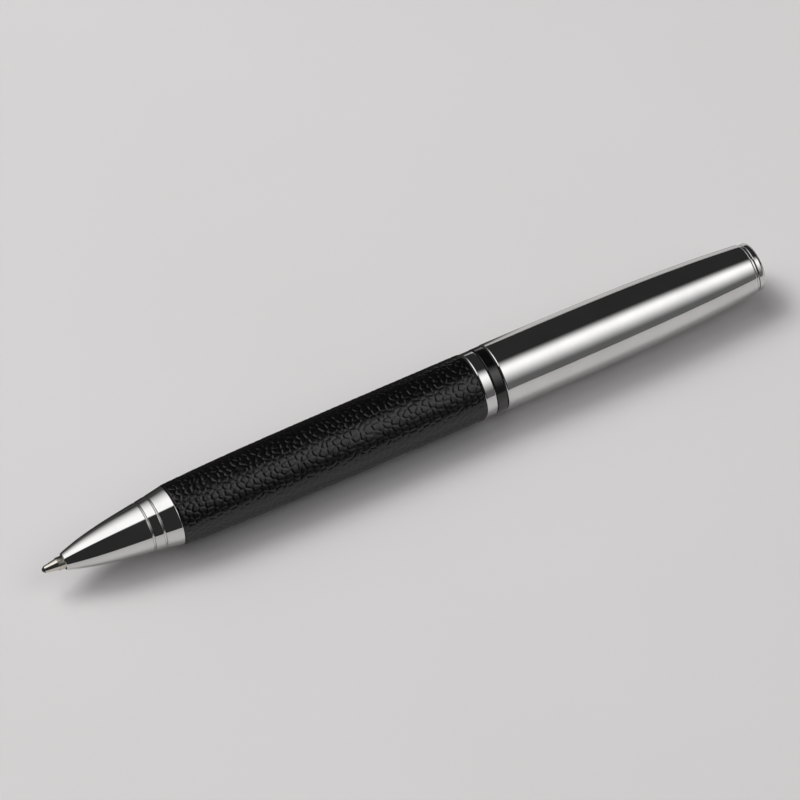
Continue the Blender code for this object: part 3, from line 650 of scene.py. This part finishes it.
# the screwed bush that takes the nose, with its thread cut inside
def makeBush():
    front, back = span("front_bush")
    radius = outerRadius("front_bush")
    bore = nose["spigotRadius"] + 0.1
    corners = [(front, radius, 0.1), (back, radius, 0.1), (back, bore, 0)]
    corners += [(s, bore, 0) for s in sweep(back - 0.3, front + 0.5, 90)] + [(front, bore + 0.2, 0)]

    def boreThread(stations, angles, radii):
        inside = (radii < bore + 0.01) & (stations < back - 0.2)
        return radii + nose["threadDepth"] / 2 * threadWave(stations, angles) * inside

    piece = turned("frontBush", fillet(corners), finishes["brass"], 160, boreThread)
    fit(piece, "barrel", "brass", "front_bush")


makeBush()

# the inner works keep their CAD shapes and take real finishes
innerWorks = {
    "barrel_tube": "brass", "rear_bush": "brass", "thrust_washer": "white_plastic", "guide_sleeve": "steel",
    "friction_ring": "rubber", "ink": "ink", "ink_float": "grease", "refill_plug": "black_plastic",
    "follower": "black_plastic", "follower_pin": "steel", "cap_liner": "brass", "cam_sleeve": "brass",
    "finial_nut": "brass",
}
for nodeName, finish in innerWorks.items():
    data = frame["nodes"][nodeName].data
    data.materials.clear()
    data.materials.append(finishes[finish])
print("inner works finished:", len(innerWorks))

# camera: a long lens looking steeply down past the point
lookout = {
    "elevation": 55.5, "azimuth": -27.401, "distance": 1.12, "lens": 292.12,
    "shiftRight": -0.432, "shiftUp": 5.572,
}


def makeCamera():
    turn, rise = math.radians(lookout["azimuth"]), math.radians(lookout["elevation"])
    backwards = Vector((math.sin(turn) * math.cos(rise), -math.cos(turn) * math.cos(rise), math.sin(rise)))
    right = Vector((math.cos(turn), math.sin(turn), 0))
    upwards = backwards.cross(right)
    camera = bpy.data.objects.new("camera", bpy.data.cameras.new("camera"))
    bpy.context.scene.collection.objects.link(camera)
    shift = right * lookout["shiftRight"] + upwards * lookout["shiftUp"]
    camera.location = backwards * lookout["distance"] + shift * mm
    camera.rotation_mode = "QUATERNION"
    camera.rotation_quaternion = (-backwards).to_track_quat("-Z", "Y")
    camera.data.lens = lookout["lens"]
    camera.data.clip_start = 0.01
    bpy.context.scene.camera = camera


makeCamera()

# studio: soft panels painted on the sky; turn is measured from overhead towards the viewer's side,
# and tilt from square across the pen towards the cap
studio = {
    "room": 0.03, "shown": "#E4E2E1",
    "lamp": (-0.55, 0.75, 1.25), "lampSize": 0.7, "lampPower": 11.0,
    "panels": (
        {"turn": (4, 47), "turnEdge": (16, 26), "tilt": (8, 50), "tiltEdge": 3, "light": 1.4},
        {"turn": (-60, 1), "turnEdge": (36, 2.5), "tilt": (-50, 3.5), "tiltEdge": 2, "light": 1.35},
        {"turn": (52, 96), "turnEdge": (12, 8), "tilt": (8, 50), "tiltEdge": 3, "light": 0.11},
    ),
}


# 1 between the two limits and 0 outside them, easing over each edge
def panelWindow(tree, value, limits, edges):
    low, high = (math.radians(v) for v in limits)
    softLow, softHigh = (math.radians(v) for v in edges)
    rise = {"interpolation_type": "SMOOTHSTEP", "From Min": low - softLow, "From Max": low + softLow}
    fall = {"interpolation_type": "SMOOTHSTEP", "From Min": high - softHigh, "From Max": high + softHigh}
    fall.update({"To Min": 1.0, "To Max": 0.0})
    up = addNode(tree, "ShaderNodeMapRange", rise, {"Value": value}).outputs[0]
    down = addNode(tree, "ShaderNodeMapRange", fall, {"Value": value}).outputs[0]
    return addNode(tree, "ShaderNodeMath", {"operation": "MULTIPLY"}, {0: up, 1: down}).outputs[0]


def makeStudio():
    world = bpy.data.worlds.new("studio")
    bpy.context.scene.world = world
    world.use_nodes = True
    tree = world.node_tree
    ground = tree.nodes["Background"]
    ground.inputs["Color"].default_value = (1, 1, 1, 1)
    where = addNode(tree, "ShaderNodeTexCoord").outputs["Generated"]
    axes = addNode(tree, "ShaderNodeSeparateXYZ", None, {0: where}).outputs
    nearer = addNode(tree, "ShaderNodeMath", {"operation": "MULTIPLY", 1: -1.0}, {0: axes[1]}).outputs[0]
    turn = addNode(tree, "ShaderNodeMath", {"operation": "ARCTAN2"}, {0: nearer, 1: axes[2]}).outputs[0]
    tilt = addNode(tree, "ShaderNodeMath", {"operation": "ARCSINE"}, {0: axes[0]}).outputs[0]
    soFar = {}
    for panel in studio["panels"]:
        across = panelWindow(tree, turn, panel["turn"], panel["turnEdge"])
        along = panelWindow(tree, tilt, panel["tilt"], (panel["tiltEdge"], panel["tiltEdge"]))
        both = addNode(tree, "ShaderNodeMath", {"operation": "MULTIPLY"}, {0: across, 1: along}).outputs[0]
        settings = {"operation": "MULTIPLY_ADD", 1: panel["light"], 2: studio["room"]}
        total = addNode(tree, "ShaderNodeMath", settings, {0: both, **soFar}).outputs[0]
        soFar = {2: total}
    tree.links.new(total, ground.inputs["Strength"])
    plain = addNode(tree, "ShaderNodeBackground", {"Color": hexColor(studio["shown"])})
    path = addNode(tree, "ShaderNodeLightPath").outputs["Is Camera Ray"]
    seen = addNode(tree, "ShaderNodeMixShader", None, {0: path, 1: ground.outputs[0], 2: plain.outputs[0]})
    tree.links.new(seen.outputs[0], tree.nodes["World Output"].inputs["Surface"])
    bpy.context.scene.view_settings.view_transform = "Standard"


# a broad lamp beyond the pen lights the table and draws its shadow, and no gloss shows it
def makeLamp():
    light = bpy.data.lights.new("tableLamp", "AREA")
    light.size, light.energy = studio["lampSize"], studio["lampPower"]
    lamp = bpy.data.objects.new("tableLamp", light)
    bpy.context.scene.collection.objects.link(lamp)
    lamp.location = studio["lamp"]
    lamp.rotation_mode = "QUATERNION"
    lamp.rotation_quaternion = (-Vector(studio["lamp"])).to_track_quat("-Z", "Y")
    lamp.visible_glossy = False


# painted board, rolled flat: pale and matt. Glossy rays see it painted dark beyond the pen, a painted shade
# in the pen's reflections, but for a pale strip beside the cap
board = {
    "size": 6.0, "drop": 0.02, "pale": "#E6E3E3", "paler": "#EAE8E8", "dark": "#2A2A2A", "roughness": 0.6,
    "patchSize": 60.0, "strip": (14, 130), "stripEdge": 5, "stripFrom": (24, 32),
}


def makeFloor():
    spot = (0, 0, cadLow.z - board["drop"] * mm)
    bpy.ops.mesh.primitive_plane_add(size=board["size"], location=spot)
    floor = bpy.context.object
    floor.name = "floor"
    material, tree, shader, where = newMaterial("paintedBoard", {"Roughness": board["roughness"]})
    patches = grain(tree, where, board["patchSize"]).outputs[0]
    tints = {"data_type": "RGBA", 6: hexColor(board["pale"]), 7: hexColor(board["paler"])}
    paint = addNode(tree, "ShaderNodeMix", tints, {0: patches}).outputs[2]
    alongPen, beyond = addNode(tree, "ShaderNodeSeparateXYZ", None, {0: where}).outputs[:2]
    near, far = (limit * mm + axisY for limit in board["strip"])
    start, full = (limit * mm for limit in board["stripFrom"])
    edge = board["stripEdge"] * mm
    ramps = []
    for value, dark, pale in (
        (beyond, near - edge, near + edge), (beyond, far + edge, far - edge), (alongPen, start, full),
    ):
        limits = {"From Min": dark, "From Max": pale}
        ramps.append(addNode(tree, "ShaderNodeMapRange", limits, {"Value": value}).outputs[0])
    strip = addNode(tree, "ShaderNodeMath", {"operation": "MULTIPLY"}, {0: ramps[0], 1: ramps[1]}).outputs[0]
    capStrip = addNode(tree, "ShaderNodeMath", {"operation": "MULTIPLY"}, {0: strip, 1: ramps[2]}).outputs[0]
    ownSide = addNode(tree, "ShaderNodeMath", {"operation": "LESS_THAN", 1: axisY}, {0: beyond}).outputs[0]
    lit = addNode(tree, "ShaderNodeMath", {"operation": "MAXIMUM"}, {0: capStrip, 1: ownSide}).outputs[0]
    unlit = addNode(tree, "ShaderNodeMath", {"operation": "SUBTRACT", 0: 1.0}, {1: lit}).outputs[0]
    # painted shade: only glossy rays see the board turn dark beyond the pen, outside the pale strip by the
    # cap
    gloss = addNode(tree, "ShaderNodeLightPath").outputs["Is Glossy Ray"]
    glossShade = addNode(tree, "ShaderNodeMath", {"operation": "MULTIPLY"}, {0: unlit, 1: gloss}).outputs[0]
    ends = {"data_type": "RGBA", 7: hexColor(board["dark"])}
    shown = addNode(tree, "ShaderNodeMix", ends, {0: glossShade, 6: paint})
    tree.links.new(shown.outputs[2], shader.inputs["Base Color"])
    floor.data.materials.append(material)


makeStudio()
makeLamp()
makeFloor()
print("camera, studio and floor made")
